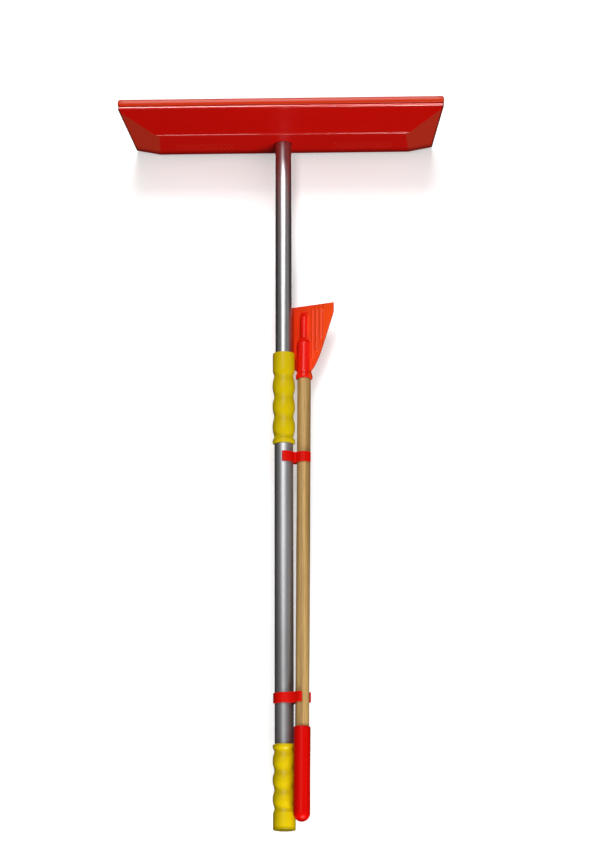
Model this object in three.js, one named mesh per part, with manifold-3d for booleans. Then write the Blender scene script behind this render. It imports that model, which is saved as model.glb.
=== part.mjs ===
// A telescopic pole with a wide wiping head, and a hand scraper held beside it by two spring clips.
// Millimetres. +Z runs up the pole, -Y points to the wiping lip, and the origin is the centre of the
// pole's butt end.
import * as THREE from "three";
import { mergeVertices } from "three/addons/utils/BufferGeometryUtils.js";
import Module from "manifold-3d";

const wasm = await Module();
wasm.setup();

// Driving dimensions.
const GAP = 0.3; // room left between pieces that touch
const ROUND = 36; // facets of the tubes and rods
const OUTER_RADIUS = 14; // outer tube
const INNER_RADIUS = 12.5; // inner tube
const WALL = 1.2; // wall of both tubes
const OUTER_TOP = 706; // mouth of the outer tube
const LOCK_HEIGHT = 345; // bottom of the twist lock's ring
const HEAD_HEIGHT = 1046; // back edge of the head's underside
const LOWER_GRIP_LENGTH = 124.5; // finger grip at the butt end
const UPPER_GRIP_LENGTH = 139.8; // finger grip at the outer tube's mouth
const UPPER_GRIP_END = 714.3; // top of the upper grip's collar
const DOWEL_RADIUS = 10.25; // scraper's wooden handle
const SCRAPER_FOOT = new THREE.Vector3(25.5, -20.9, 0); // scraper's axis at the butt end's level
const SCRAPER_LEAN = new THREE.Vector3(0.00725, 0.0407, 1); // direction of the scraper's axis
const BLADE_TURN = THREE.MathUtils.degToRad(-23); // blade turned about the scraper's axis
const CLIP_HEIGHTS = { clip_lower: 191.8, clip_upper: 553.7 }; // middle of each clip

const boreRadius = OUTER_RADIUS - WALL;
const group = new THREE.Group();
const scraper = new THREE.Group();
scraper.position.copy(SCRAPER_FOOT);
scraper.quaternion.setFromUnitVectors(new THREE.Vector3(0, 0, 1), SCRAPER_LEAN.clone().normalize());
scraper.rotateZ(BLADE_TURN);
group.add(scraper);

const FINISHES = {
  head_red: { color: 0xb80f08, roughness: 0.25, metalness: 0 },
  lip_red: { color: 0xf03010, roughness: 0.4, metalness: 0 },
  clip_red: { color: 0xe01808, roughness: 0.35, metalness: 0 },
  scraper_red: { color: 0xf23a12, roughness: 0.35, metalness: 0 },
  grip_red: { color: 0xe80a04, roughness: 0.45, metalness: 0 },
  grip_yellow: { color: 0xecd80e, roughness: 0.45, metalness: 0 },
  tube_silver: { color: 0xa8a9ad, roughness: 0.3, metalness: 1 },
  steel: { color: 0x8f9296, roughness: 0.35, metalness: 1 },
  black: { color: 0x1b1b1d, roughness: 0.55, metalness: 0 },
  wood: { color: 0xc8965a, roughness: 0.6, metalness: 0 },
};

// Adds one named piece in its finish.
function piece(name, geometry, finish, parent = group) {
  const mesh = new THREE.Mesh(geometry, new THREE.MeshStandardMaterial(FINISHES[finish]));
  mesh.name = name;
  parent.add(mesh);
}

// A closed geometry as a solid that can be joined and cut.
function solid(geometry) {
  const bare = geometry.clone();
  bare.deleteAttribute("normal");
  bare.deleteAttribute("uv");
  const merged = mergeVertices(bare, 1e-4);
  const mesh = new wasm.Mesh({
    numProp: 3,
    vertProperties: merged.attributes.position.array,
    triVerts: new Uint32Array(merged.index.array),
  });
  return new wasm.Manifold(mesh);
}

// A solid back as a geometry.
function geometryOf(shape) {
  const mesh = shape.getMesh();
  const geometry = new THREE.BufferGeometry();
  geometry.setAttribute("position", new THREE.BufferAttribute(mesh.vertProperties, 3));
  geometry.setIndex(new THREE.BufferAttribute(mesh.triVerts, 1));
  geometry.computeVertexNormals();
  return geometry;
}

// A profile of [radius, height] points turned about Z. It runs out along the bottom, up and back in.
function turned(profile, facets = ROUND) {
  const points = profile.map(([radius, height]) => new THREE.Vector2(radius, height));
  return new THREE.LatheGeometry(points, facets).rotateX(Math.PI / 2);
}

function rod(radius, bottom, top, facets = ROUND) {
  const profile = [[0, bottom], [radius, bottom], [radius, top], [0, top]];
  return turned(profile, facets);
}

function tube(outside, inside, bottom, top, facets = ROUND) {
  const profile = [[inside, bottom], [outside, bottom], [outside, top], [inside, top], [inside, bottom]];
  return turned(profile, facets);
}

// A rod that lies along Y through a height, for cross holes, bolts and pins.
function crossRod(radius, from, to, height, facets = 12) {
  return rod(radius, from, to, facets).rotateX(-Math.PI / 2).translate(0, 0, height);
}

// A shape drawn in the plane of (reach towards the lip, height), extruded along X and centred on it.
function acrossHead(shape, length) {
  const geometry = new THREE.ExtrudeGeometry(shape, { depth: length, bevelEnabled: false, curveSegments: 6 });
  const basis = new THREE.Matrix4().makeBasis(
    new THREE.Vector3(0, -1, 0),
    new THREE.Vector3(0, 0, 1),
    new THREE.Vector3(-1, 0, 0),
  );
  return geometry.applyMatrix4(basis).translate(length / 2, 0, 0);
}

// --- Pole tubes -------------------------------------------------------------------------------

const gripFloor = 3; // closed end of the lower grip
const plugFlange = 2.5; // end plug's flange under the tube's edge
const outerBottom = gripFloor + GAP + plugFlange + GAP;
piece("outer_tube", tube(OUTER_RADIUS, boreRadius, outerBottom, OUTER_TOP), "tube_silver");

const innerBottom = LOCK_HEIGHT + 36;
const innerTop = HEAD_HEIGHT + 25;
const innerBore = INNER_RADIUS - WALL;
const pinHeight = innerBottom + 16;
const boltHeight = HEAD_HEIGHT + 17;
const pinRadius = 1.5;
const boltRadius = 2.5;
const innerTube = solid(tube(INNER_RADIUS, innerBore, innerBottom, innerTop))
  .subtract(solid(crossRod(pinRadius + GAP, -20, 20, pinHeight)))
  .subtract(solid(crossRod(boltRadius + GAP, -20, 20, boltHeight)));
piece("inner_tube", geometryOf(innerTube), "tube_silver");

const endPlug = [
  [0, gripFloor + GAP],
  [OUTER_RADIUS - 0.4, gripFloor + GAP],
  [OUTER_RADIUS - 0.4, gripFloor + GAP + plugFlange],
  [boreRadius - GAP, gripFloor + GAP + plugFlange],
  [boreRadius - GAP - 1, 30],
  [0, 30],
];
piece("end_plug", turned(endPlug, 24), "black");

// --- Finger grips -----------------------------------------------------------------------------

const COLLAR_RADIUS = 16.6;
const COLLAR_LENGTH = 0.19; // lengths along a grip, as shares of the whole grip
const FIRST_VALLEY = 0.248; // from the grip's end to the first finger valley
const FINGER_PITCH = 0.2243;
const VALLEY_RADIUS = 14.9;
const BUMP_RADIUS = 17;
const LIP_RADIUS = 16.9;
const GRIP_FACETS = 28;

// Profile of a grip's outside, from its end to its flared lip.
function gripOutside(length) {
  const pitch = FINGER_PITCH * length;
  const firstValley = FIRST_VALLEY * length;
  const points = [[COLLAR_RADIUS - 1.4, 0], [COLLAR_RADIUS, 1.4], [COLLAR_RADIUS, COLLAR_LENGTH * length]];
  const middle = (VALLEY_RADIUS + BUMP_RADIUS) / 2;
  const swing = (BUMP_RADIUS - VALLEY_RADIUS) / 2;
  const steps = 15;
  const waveLength = 3 * pitch;
  points.push([VALLEY_RADIUS + 0.6, firstValley - 4]);
  for (let step = 0; step <= steps; step++) {
    const along = (waveLength * step) / steps;
    const radius = middle - swing * Math.cos((2 * Math.PI * along) / pitch);
    points.push([radius, firstValley + along]);
  }
  points.push([LIP_RADIUS - 0.6, length - 5.5]);
  points.push([LIP_RADIUS, length - 3]);
  points.push([LIP_RADIUS - 0.5, length]);
  return points;
}

const gripBore = OUTER_RADIUS + 0.2;
const lowerGrip = [
  [0, 0],
  ...gripOutside(LOWER_GRIP_LENGTH),
  [gripBore, LOWER_GRIP_LENGTH],
  [gripBore, gripFloor],
  [0, gripFloor],
];
piece("lower_grip", turned(lowerGrip, GRIP_FACETS), "grip_yellow");

const rimBore = INNER_RADIUS + GAP;
const upperGrip = [
  [rimBore, 0],
  ...gripOutside(UPPER_GRIP_LENGTH),
  [gripBore, UPPER_GRIP_LENGTH],
  [gripBore, UPPER_GRIP_END - OUTER_TOP - GAP],
  [rimBore, UPPER_GRIP_END - OUTER_TOP - GAP],
  [rimBore, 0],
];
const upperGripBody = turned(upperGrip, GRIP_FACETS).rotateX(Math.PI).translate(0, 0, UPPER_GRIP_END);
piece("upper_grip", upperGripBody, "grip_yellow");

// --- Twist lock inside the tubes ----------------------------------------------------------------

const CAM_RADIUS = 6;
const CAM_OFFSET = 1.4; // throw of the cam that presses the ring outwards
const RING_HEIGHT = 28;
const ringTop = LOCK_HEIGHT + RING_HEIGHT;
const camBottom = LOCK_HEIGHT - GAP;

const lockRingTube = solid(tube(boreRadius - 0.2, CAM_RADIUS + CAM_OFFSET + 0.4, LOCK_HEIGHT, ringTop));
const ringSlot = new THREE.BoxGeometry(12, 3, RING_HEIGHT + 4);
ringSlot.translate(11, 0, LOCK_HEIGHT + RING_HEIGHT / 2);
piece("lock_ring", geometryOf(lockRingTube.subtract(solid(ringSlot))), "black");

const plugBody = [
  [0, ringTop + GAP],
  [INNER_RADIUS - 0.1, ringTop + GAP],
  [INNER_RADIUS - 0.1, innerBottom - GAP],
  [innerBore - GAP, innerBottom - GAP],
  [innerBore - GAP, innerBottom + 30],
  [0, innerBottom + 30],
];
const lockScrewRadius = 2;
const lockPlug = solid(turned(plugBody))
  .add(solid(rod(CAM_RADIUS, camBottom, ringTop + 2, 24).translate(0, CAM_OFFSET, 0)))
  .subtract(solid(crossRod(pinRadius + GAP, -20, 20, pinHeight)))
  .subtract(solid(rod(lockScrewRadius + GAP, camBottom - 5, ringTop - 8, 12)));
piece("lock_plug", geometryOf(lockPlug), "black");

piece("lock_plug_pin", crossRod(pinRadius, -INNER_RADIUS, INNER_RADIUS, pinHeight), "steel");

const washerTop = camBottom - GAP;
const washerThickness = 3;
piece(
  "lock_end_disc",
  tube(boreRadius - 0.8, lockScrewRadius + GAP, washerTop - washerThickness, washerTop, 24),
  "black",
);

const screwHeadTop = washerTop - washerThickness - GAP;
const lockScrew = [
  [0, screwHeadTop - 2.6],
  [2.8, screwHeadTop - 2.6],
  [4, screwHeadTop],
  [lockScrewRadius, screwHeadTop],
  [lockScrewRadius, ringTop - 10],
  [0, ringTop - 8.5],
];
piece("lock_screw", turned(lockScrew, 12), "steel");

// --- Wiping head --------------------------------------------------------------------------------

const BACK_REACH = -38; // the head's back edge, as reach from the pole towards the lip
const RIDGE_REACH = 40; // crease between the underside panel and the main face
const WALL_REACH = 116.5; // front of the upright front wall
const HALF_BACK = 227.5; // half width at the back edge
const HALF_LIP = 244; // half width at the lip
const LIP_REACH = 120.5;
const RIDGE_RISE = 3.8; // underside panel, from the back edge up to the crease
const FACE_SLOPE = 0.178; // rise of the main face for each millimetre of reach
const SHELL = 3;
const BEAD_RADIUS = 4.5;
const WALL_TOP = 27; // top edge of the front wall above the back edge
const LIP_TOP = 32;
const RIB_DEPTH = 9;
const RIB_WIDTH = 2.4;
const BOSS_RADIUS = 17.5;
const BOSS_TOP = 30;

// Corners of the right end facet: the crease's end, the back edge's break and the back corner.
const creaseEnd = new THREE.Vector3(193, -RIDGE_REACH, RIDGE_RISE);
const backBreak = new THREE.Vector3(191, -BACK_REACH, 0);
const backCorner = new THREE.Vector3(HALF_BACK, -BACK_REACH, 7);

const panelHeight = (reach) => (RIDGE_RISE * (reach - BACK_REACH)) / (RIDGE_REACH - BACK_REACH);
const faceHeight = (reach) => RIDGE_RISE + FACE_SLOPE * (reach - RIDGE_REACH);
const endX = (reach) =>
  HALF_BACK + ((HALF_LIP - HALF_BACK) * (reach - BACK_REACH)) / (LIP_REACH - BACK_REACH);

// The space above the head's underside, raised by an offset and cut off at a height.
function aboveUnderside(offset, top, length) {
  const far = BACK_REACH - 60;
  const wall = WALL_REACH - offset;
  const round = Math.max(BEAD_RADIUS - offset, 1);
  const corner = faceHeight(wall) + offset;
  const shape = new THREE.Shape();
  shape.moveTo(far, panelHeight(far) + offset);
  shape.lineTo(RIDGE_REACH, RIDGE_RISE + offset);
  shape.lineTo(wall - round, faceHeight(wall - round) + offset);
  shape.quadraticCurveTo(wall, corner, wall, corner + round);
  shape.lineTo(wall, top);
  shape.lineTo(far, top);
  shape.closePath();
  let space = solid(acrossHead(shape, length));
  for (const side of [1, -1]) {
    const corners = [creaseEnd, backBreak, backCorner].map(
      (point) => new THREE.Vector3(side * point.x, point.y, point.z + offset),
    );
    const facet = new THREE.Plane().setFromCoplanarPoints(...corners);
    const up = facet.normal.clone().multiplyScalar(Math.sign(facet.normal.z));
    const size = 1400;
    const block = new THREE.BoxGeometry(size, size, size).translate(0, 0, size / 2);
    block.applyQuaternion(new THREE.Quaternion().setFromUnitVectors(new THREE.Vector3(0, 0, 1), up));
    block.translate(corners[1].x, corners[1].y, corners[1].z);
    space = space.intersect(solid(block));
  }
  return space;
}

// The head's outline seen from above, as an upright prism.
function planPrism() {
  const far = WALL_REACH + 20;
  const shape = new THREE.Shape();
  shape.moveTo(-HALF_BACK, -BACK_REACH);
  shape.lineTo(-endX(far), -far);
  shape.lineTo(endX(far), -far);
  shape.lineTo(HALF_BACK, -BACK_REACH);
  shape.closePath();
  const geometry = new THREE.ExtrudeGeometry(shape, { depth: 100, bevelEnabled: false });
  return solid(geometry.translate(0, 0, -20));
}

// A layer of material on the underside, of a given thickness, cut off at a height.
function underLayer(thickness, top) {
  return aboveUnderside(0, top, 560).subtract(aboveUnderside(thickness, 100, 600));
}

function ribBlock(x, y, width, depth) {
  return solid(new THREE.BoxGeometry(width, depth, 100).translate(x, y, 20));
}

const outline = planPrism();
const lipLegBottom = 24.3; // the lip's inner leg reaches down to here
const ribDepth = underLayer(RIB_DEPTH, lipLegBottom - GAP);
const fullReach = 2 * (WALL_REACH + 20);
const ribBlocks = [-195, -130, -65, 65, 130, 195].map((x) => ribBlock(x, 0, RIB_WIDTH, fullReach));
ribBlocks.push(ribBlock(0, 0, 600, RIB_WIDTH));
ribBlocks.push(ribBlock(0, -75, 600, RIB_WIDTH));
ribBlocks.push(ribBlock(0, -BACK_REACH, 600, 2 * RIB_WIDTH));

let plate = underLayer(SHELL, WALL_TOP);
for (const block of ribBlocks) plate = plate.add(ribDepth.intersect(block));

const gussetShape = new THREE.Shape();
gussetShape.moveTo(-62, 4);
gussetShape.lineTo(62, 4);
gussetShape.lineTo(62, 9);
gussetShape.lineTo(18, BOSS_TOP - 3);
gussetShape.lineTo(-18, BOSS_TOP - 3);
gussetShape.lineTo(-62, 9);
gussetShape.closePath();
const gussets = new THREE.ExtrudeGeometry(gussetShape, { depth: 3, bevelEnabled: false });
gussets.translate(0, 0, -1.5).rotateX(Math.PI / 2);

const socketTop = BOSS_TOP - 4;
plate = plate
  .intersect(outline)
  .add(solid(gussets))
  .add(solid(rod(BOSS_RADIUS, 3, BOSS_TOP)))
  .subtract(solid(rod(INNER_RADIUS + GAP, -10, socketTop)))
  .subtract(solid(crossRod(boltRadius + GAP, -30, 30, boltHeight - HEAD_HEIGHT)));
piece("head_plate", geometryOf(plate).translate(0, 0, HEAD_HEIGHT), "head_red");

// Soft lip pushed down over the front wall's top edge.
const lipFront = LIP_REACH;
const wallFront = WALL_REACH + GAP;
const wallBack = WALL_REACH - SHELL - GAP;
const lipShape = new THREE.Shape();
lipShape.moveTo(wallFront, LIP_TOP - 9.6);
lipShape.lineTo(wallFront + 1.6, LIP_TOP - 9.6);
lipShape.quadraticCurveTo(lipFront, LIP_TOP - 8.6, lipFront, LIP_TOP - 6);
lipShape.lineTo(lipFront, LIP_TOP - 2.5);
lipShape.quadraticCurveTo(lipFront - 0.4, LIP_TOP, lipFront - 3, LIP_TOP);
lipShape.lineTo(wallBack - 1, LIP_TOP);
lipShape.quadraticCurveTo(wallBack - 2.2, LIP_TOP, wallBack - 2.2, LIP_TOP - 1.6);
lipShape.lineTo(wallBack - 2.2, lipLegBottom);
lipShape.lineTo(wallBack, lipLegBottom);
lipShape.lineTo(wallBack, WALL_TOP + GAP);
lipShape.lineTo(wallFront, WALL_TOP + GAP);
lipShape.closePath();
const cornerCut = 4; // chamfer of the lip's upper end corners
const lipEnds = new THREE.Shape();
lipEnds.moveTo(-HALF_LIP, 20);
lipEnds.lineTo(HALF_LIP, 20);
lipEnds.lineTo(HALF_LIP, LIP_TOP - cornerCut);
lipEnds.lineTo(HALF_LIP - cornerCut, LIP_TOP + 1);
lipEnds.lineTo(-HALF_LIP + cornerCut, LIP_TOP + 1);
lipEnds.lineTo(-HALF_LIP, LIP_TOP - cornerCut);
lipEnds.closePath();
const lipBlock = new THREE.ExtrudeGeometry(lipEnds, { depth: 80, bevelEnabled: false });
lipBlock.rotateX(Math.PI / 2).translate(0, -80, 0);
const lip = solid(acrossHead(lipShape, 560)).intersect(outline).intersect(solid(lipBlock));
piece("wiping_lip", geometryOf(lip).translate(0, 0, HEAD_HEIGHT), "lip_red");

// Plug that keeps the inner tube round under the head bolt.
const corePlug = solid(rod(innerBore - GAP, HEAD_HEIGHT - 20, innerTop - 0.5))
  .subtract(solid(crossRod(boltRadius + GAP, -20, 20, boltHeight)));
piece("inner_top_plug", geometryOf(corePlug), "black");

// Hexagon bolt through the boss, with a nut at the back.
const HEX = 4.6; // half the distance across the bolt head's corners
const boltFace = BOSS_RADIUS + 1 + GAP;
const boltHead = crossRod(HEX, -boltFace - 3.6, -boltFace, boltHeight, 6);
const boltShank = crossRod(boltRadius, -boltFace - 1, boltFace + 7, boltHeight);
piece("head_bolt", geometryOf(solid(boltHead).add(solid(boltShank))), "steel");
const nutStart = boltFace + GAP;
const nut = solid(crossRod(HEX, nutStart, nutStart + 4, boltHeight, 6))
  .subtract(solid(crossRod(boltRadius + 0.2, nutStart - 2, nutStart + 8, boltHeight)));
piece("head_nut", geometryOf(nut), "steel");
for (const [name, start] of [["front_washer", -boltFace + GAP], ["back_washer", boltFace - 0.7]]) {
  const disc = solid(crossRod(5.4, start, start + 0.4, boltHeight, 16));
  const bore = solid(crossRod(boltRadius + 0.2, start - 2, start + 2, boltHeight));
  piece(name, geometryOf(disc.subtract(bore)), "steel");
}

// --- Spring clips -------------------------------------------------------------------------------

const CLIP_WALL = 2.2;
const CLIP_WIDTH = 15;
const POLE_JAW = { bore: OUTER_RADIUS + GAP, halfOpening: 61, turn: 21 }; // angles in degrees
const DOWEL_JAW = { bore: DOWEL_RADIUS + 0.5, halfOpening: 54, turn: 16 };

// Where the scraper's axis passes a height.
function scraperAxis(height) {
  return SCRAPER_FOOT.clone().addScaledVector(SCRAPER_LEAN, height);
}

// A C-shaped ring with rounded jaw ends, open around an angle in degrees.
function jaw({ bore, halfOpening }, openAt, x) {
  const middle = bore + CLIP_WALL / 2;
  const from = THREE.MathUtils.degToRad(openAt + halfOpening);
  const to = THREE.MathUtils.degToRad(openAt + 360 - halfOpening);
  const shape = new THREE.Shape();
  const roundTip = (at, start) =>
    shape.absarc(middle * Math.cos(at), middle * Math.sin(at), CLIP_WALL / 2, start, start + Math.PI, false);
  shape.absarc(0, 0, bore + CLIP_WALL, from, to, false);
  roundTip(to, to);
  shape.absarc(0, 0, bore, to, from, true);
  roundTip(from, from + Math.PI);
  const options = { depth: CLIP_WIDTH, bevelEnabled: false, curveSegments: 18 };
  return solid(new THREE.ExtrudeGeometry(shape, options).translate(x, 0, -CLIP_WIDTH / 2));
}

for (const [name, height] of Object.entries(CLIP_HEIGHTS)) {
  const flip = name === "clip_upper" ? -1 : 1;
  const centre = scraperAxis(height);
  const distance = Math.hypot(centre.x, centre.y);
  const neckLength = distance - POLE_JAW.bore - DOWEL_JAW.bore - CLIP_WALL / 2;
  const neck = new THREE.BoxGeometry(neckLength, 2 * CLIP_WALL + 3, CLIP_WIDTH);
  neck.translate((distance + POLE_JAW.bore - DOWEL_JAW.bore) / 2, 0, 0);
  const bearing = Math.atan2(centre.y, centre.x);
  const clip = jaw(POLE_JAW, 180 - flip * POLE_JAW.turn, 0)
    .add(jaw(DOWEL_JAW, -flip * DOWEL_JAW.turn, distance))
    .add(solid(neck));
  piece(name, geometryOf(clip).rotateZ(bearing).translate(0, 0, height), "clip_red");
}

// --- Hand scraper, drawn along its own axis -------------------------------------------------------

const GRIP_RADIUS = 12.4; // dipped vinyl grip
const GRIP_BOTTOM = 10;
const GRIP_TOP = 148.3;
const SOCKET_BOTTOM = 677;
const SOCKET_TOP = 739.5;
const SOCKET_RADIUS = 11.3;
const SOCKET_LIP = 12.7;
const TENON_RADIUS = 9.2; // reduced end of the dowel inside the socket
const TENON_TOP = 728;
const BLADE_TOP = 793;
const BLADE_HALF = 48;
const BLADE_THICK = 3.4;
const TONGUE_RADIUS = 6.8;
const TONGUE_TOP = 785;

// Rounded closed end of the grip, from its lowest point up to its straight side.
function roundEnd(radius, bottom, steps) {
  const points = [];
  for (let step = 0; step <= steps; step++) {
    const angle = (Math.PI / 2) * (step / steps);
    points.push([radius * Math.sin(angle), bottom + radius * (1 - Math.cos(angle))]);
  }
  return points;
}

const vinylWall = 1.8;
const gripProfile = [
  ...roundEnd(GRIP_RADIUS, GRIP_BOTTOM, 6),
  [GRIP_RADIUS, GRIP_TOP - 1],
  [GRIP_RADIUS - 0.8, GRIP_TOP],
  [GRIP_RADIUS - vinylWall, GRIP_TOP],
  [GRIP_RADIUS - vinylWall, GRIP_BOTTOM + 12],
  [0, GRIP_BOTTOM + 12],
];
piece("scraper_grip", turned(gripProfile, GRIP_FACETS), "grip_red", scraper);

const handleProfile = [
  [0, GRIP_BOTTOM + 12 + GAP],
  [DOWEL_RADIUS - 1.5, GRIP_BOTTOM + 12 + GAP],
  [DOWEL_RADIUS, GRIP_BOTTOM + 14],
  [DOWEL_RADIUS, SOCKET_BOTTOM - GAP],
  [TENON_RADIUS, SOCKET_BOTTOM - GAP],
  [TENON_RADIUS, TENON_TOP - 1],
  [TENON_RADIUS - 1, TENON_TOP],
  [0, TENON_TOP],
];
const screwHeight = 704;
const pilot = crossRod(1.3, 0, 20, screwHeight);
const handle = solid(turned(handleProfile)).subtract(solid(pilot));
piece("scraper_handle", geometryOf(handle), "wood", scraper);

const waist = BLADE_TOP - 77; // where the blade's straight sides turn in
const fanBottom = BLADE_TOP - 106;
const fan = new THREE.Shape();
fan.moveTo(-BLADE_HALF, BLADE_TOP);
fan.lineTo(-BLADE_HALF, BLADE_TOP - 16);
fan.lineTo(-27, waist);
fan.quadraticCurveTo(-22, waist - 17, -8, fanBottom);
fan.lineTo(8, fanBottom);
fan.quadraticCurveTo(22, waist - 17, 27, waist);
fan.lineTo(BLADE_HALF, BLADE_TOP - 16);
fan.lineTo(BLADE_HALF, BLADE_TOP);
fan.closePath();
const fanOptions = { depth: BLADE_THICK, bevelEnabled: false, curveSegments: 6 };
const fanPlate = new THREE.ExtrudeGeometry(fan, fanOptions).translate(0, 0, -BLADE_THICK / 2);
fanPlate.rotateX(Math.PI / 2);

// The scraping edge is thinned from the front.
const edgeCut = new THREE.Shape();
edgeCut.moveTo(-BLADE_THICK / 2 - 1, BLADE_TOP - 12);
edgeCut.lineTo(-BLADE_THICK / 2, BLADE_TOP - 12);
edgeCut.lineTo(BLADE_THICK / 2 - 1, BLADE_TOP + 1);
edgeCut.lineTo(-BLADE_THICK / 2 - 1, BLADE_TOP + 1);
edgeCut.closePath();
const edgeBlock = new THREE.ExtrudeGeometry(edgeCut, { depth: 120, bevelEnabled: false });
edgeBlock.applyMatrix4(
  new THREE.Matrix4().makeBasis(
    new THREE.Vector3(0, 1, 0),
    new THREE.Vector3(0, 0, 1),
    new THREE.Vector3(1, 0, 0),
  ),
);
edgeBlock.translate(-60, 0, 0);

const socketProfile = [
  [0, SOCKET_BOTTOM],
  [SOCKET_LIP - 0.8, SOCKET_BOTTOM],
  [SOCKET_LIP, SOCKET_BOTTOM + 1.5],
  [SOCKET_LIP, SOCKET_BOTTOM + 5],
  [SOCKET_RADIUS, SOCKET_BOTTOM + 11],
  [SOCKET_RADIUS, SOCKET_TOP - 8],
  [SOCKET_RADIUS - 2.2, SOCKET_TOP - 2],
  [TONGUE_RADIUS, SOCKET_TOP + 4],
  [TONGUE_RADIUS, TONGUE_TOP - 12],
  [TONGUE_RADIUS - 1.5, TONGUE_TOP - 6],
  [0, TONGUE_TOP],
];
const ribs = [
  { at: 14.6, width: 5, top: BLADE_TOP - 6, bottom: BLADE_TOP - 86 },
  { at: 21.4, width: 4.6, top: BLADE_TOP - 6, bottom: BLADE_TOP - 76 },
  { at: 28.2, width: 4.6, top: BLADE_TOP - 8, bottom: BLADE_TOP - 58 },
];
let bladeBody = solid(fanPlate).subtract(solid(edgeBlock)).add(solid(turned(socketProfile, GRIP_FACETS)));
for (const rib of ribs) {
  const length = rib.top - rib.bottom;
  const bar = new THREE.CapsuleGeometry(rib.width / 2, length - rib.width, 3, 10);
  bar.rotateX(Math.PI / 2).scale(1, 0.55, 1).translate(rib.at, -BLADE_THICK / 2, (rib.top + rib.bottom) / 2);
  bladeBody = bladeBody.add(solid(bar));
}
bladeBody = bladeBody
  .subtract(solid(rod(TENON_RADIUS + GAP, SOCKET_BOTTOM - 5, TENON_TOP + 1)))
  .subtract(solid(crossRod(1.9, 0, 30, screwHeight)));
piece("scraper_blade", geometryOf(bladeBody), "scraper_red", scraper);

// Screw through the socket's back into the dowel.
const screwHead = crossRod(3.2, SOCKET_RADIUS + GAP, SOCKET_RADIUS + 2, screwHeight, 16);
const screwShank = crossRod(1, 1, SOCKET_RADIUS + 1, screwHeight);
piece("scraper_screw", geometryOf(solid(screwHead).add(solid(screwShank))), "steel", scraper);

export default group;
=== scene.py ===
import math

import bmesh
import bpy
from mathutils import Matrix, Vector


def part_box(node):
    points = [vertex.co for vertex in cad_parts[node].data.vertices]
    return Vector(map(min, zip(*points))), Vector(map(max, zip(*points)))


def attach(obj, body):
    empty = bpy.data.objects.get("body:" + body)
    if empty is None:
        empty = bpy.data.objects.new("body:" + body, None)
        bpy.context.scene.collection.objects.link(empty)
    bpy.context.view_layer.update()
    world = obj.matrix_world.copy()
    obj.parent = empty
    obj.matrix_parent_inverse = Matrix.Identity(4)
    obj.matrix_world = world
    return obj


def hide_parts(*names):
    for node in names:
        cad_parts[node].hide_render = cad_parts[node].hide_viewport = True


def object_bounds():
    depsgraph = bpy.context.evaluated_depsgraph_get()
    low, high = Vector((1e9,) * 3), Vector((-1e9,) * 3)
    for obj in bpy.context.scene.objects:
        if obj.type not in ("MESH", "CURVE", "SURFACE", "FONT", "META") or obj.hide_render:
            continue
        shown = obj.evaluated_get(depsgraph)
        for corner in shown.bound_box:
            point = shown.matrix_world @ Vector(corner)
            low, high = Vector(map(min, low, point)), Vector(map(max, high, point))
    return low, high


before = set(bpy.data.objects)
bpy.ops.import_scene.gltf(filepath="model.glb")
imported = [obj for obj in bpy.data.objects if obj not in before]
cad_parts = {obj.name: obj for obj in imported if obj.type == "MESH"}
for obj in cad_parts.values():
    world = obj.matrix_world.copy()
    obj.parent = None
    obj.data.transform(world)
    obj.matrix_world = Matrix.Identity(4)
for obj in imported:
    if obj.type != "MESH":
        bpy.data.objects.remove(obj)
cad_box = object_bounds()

MM = 0.001

# Studio. A dim warm room and six soft lights. The key is a tall strip in front of the tool, a little
# to the left. One light hangs above the camera, and one lies low on the right, under the head.
# Weak strips at both sides and a broad light behind fill the flanks and the back.

scene = bpy.context.scene
scene.view_settings.view_transform = "Standard"

ROOM_TINT = (1.0, 0.85, 0.7, 1)
ROOM_STRENGTH = 0.035
room = bpy.data.worlds.new("room")
room.use_nodes = True
room_light = room.node_tree.nodes["Background"].inputs
room_light["Color"].default_value = ROOM_TINT
room_light["Strength"].default_value = ROOM_STRENGTH
scene.world = room

AIM = Vector((0.0242, 0, 0.6014))
CAMERA_DISTANCE = 4.478
CAMERA_AZIMUTH = math.radians(1.6)
CAMERA_ELEVATION = math.radians(-14.26)
CAMERA_ROLL = math.radians(-0.155)
FOCAL_LENGTH = 126.6
SENSOR_WIDTH = 36


def around(azimuth, elevation, distance):
    """A point that far from the aim, seen in that direction from it."""
    flat = math.cos(elevation)
    direction = Vector((math.sin(azimuth) * flat, -math.cos(azimuth) * flat, math.sin(elevation)))
    return AIM + direction * distance


def look_at(thing, target):
    """Points a camera or a light at a place."""
    thing.rotation_euler = (target - thing.location).to_track_quat("-Z", "Y").to_euler()


lens = bpy.data.cameras.new("lens")
lens.lens = FOCAL_LENGTH
lens.sensor_width = SENSOR_WIDTH
camera = bpy.data.objects.new("camera", lens)
camera.location = around(CAMERA_AZIMUTH, CAMERA_ELEVATION, CAMERA_DISTANCE)
look_at(camera, AIM)
camera.rotation_euler.rotate_axis("Z", CAMERA_ROLL)
scene.collection.objects.link(camera)
scene.camera = camera


def softbox(name, azimuth, elevation, distance, width, height, power):
    """A rectangular area light that faces the aim."""
    lamp = bpy.data.lights.new(name, "AREA")
    lamp.shape = "RECTANGLE"
    lamp.size = width
    lamp.size_y = height
    lamp.energy = power
    box = bpy.data.objects.new(name, lamp)
    box.location = around(math.radians(azimuth), math.radians(elevation), distance)
    look_at(box, AIM)
    scene.collection.objects.link(box)


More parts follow.
